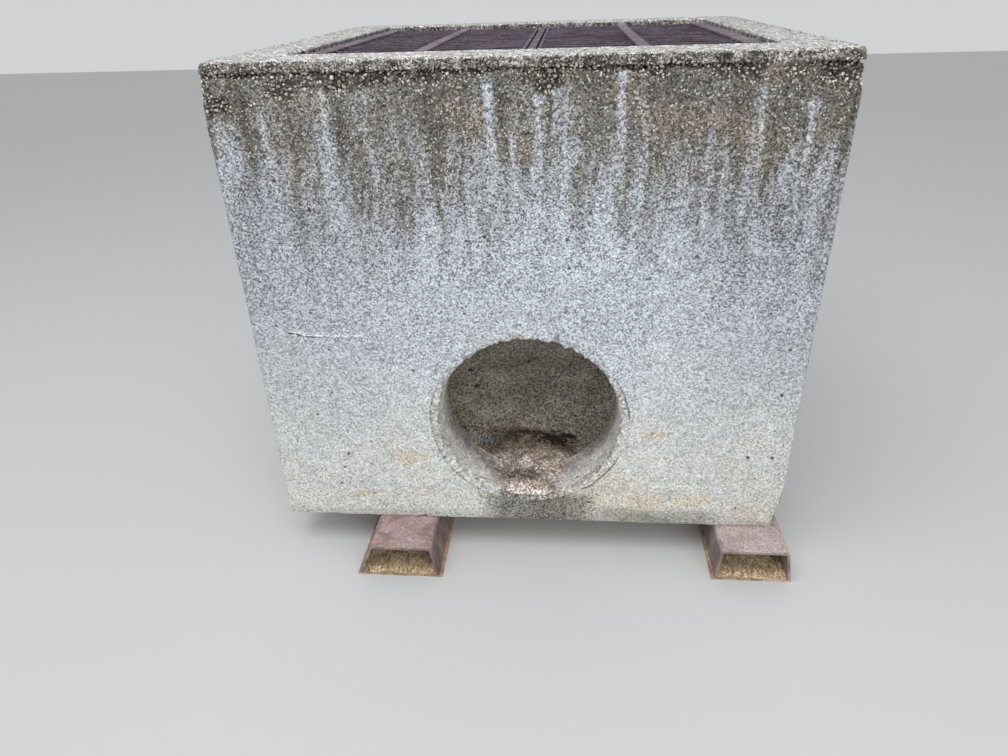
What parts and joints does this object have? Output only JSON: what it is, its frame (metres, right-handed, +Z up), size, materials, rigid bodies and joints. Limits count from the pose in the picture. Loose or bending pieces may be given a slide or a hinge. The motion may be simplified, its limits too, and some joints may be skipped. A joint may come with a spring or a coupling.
{
  "type": "precast drainage inlet",
  "caption": "Hollow precast concrete drainage box with a round pipe hole in its front wall, lift-out steel bar grates in its mouth, and steel rails under it.",
  "frame": {"origin": "on the ground, under the middle of the overall bounding box", "axes": "+Z up, -Y out of the wall with the pipe hole, +X to the right seen from that side"},
  "size_m": [1.242, 1.4528, 1.156],
  "materials": {
    "concrete": "rough weathered concrete",
    "rusted_steel": "rusted",
    "worn_steel": "rusted and worn"
  },
  "bodies": {
    "inlet": {"inlet_box": "concrete", "side_seat_left": "rusted_steel", "side_seat_right": "rusted_steel", "beam_seat_front": "rusted_steel", "beam_seat_back": "rusted_steel", "centre_beam": "rusted_steel", "left_rail_channel": "worn_steel", "left_rail_plate": "rusted_steel", "right_rail_channel": "worn_steel", "right_rail_plate": "rusted_steel"},
    "left_grate": {"left_grate_bars": "rusted_steel", "left_grate_mid_strap": "worn_steel", "left_grate_side_strap": "worn_steel"},
    "right_grate": {"right_grate_bars": "rusted_steel", "right_grate_mid_strap": "worn_steel", "right_grate_side_strap": "worn_steel"}
  },
  "joints": [
    {"name": "left_grate_lift", "type": "slide", "parent": "inlet", "child": "left_grate", "axis": [0, 0, 1], "range_m": [0, 0.2]},
    {"name": "right_grate_lift", "type": "slide", "parent": "inlet", "child": "right_grate", "axis": [0, 0, 1], "range_m": [0, 0.2]}
  ]
}
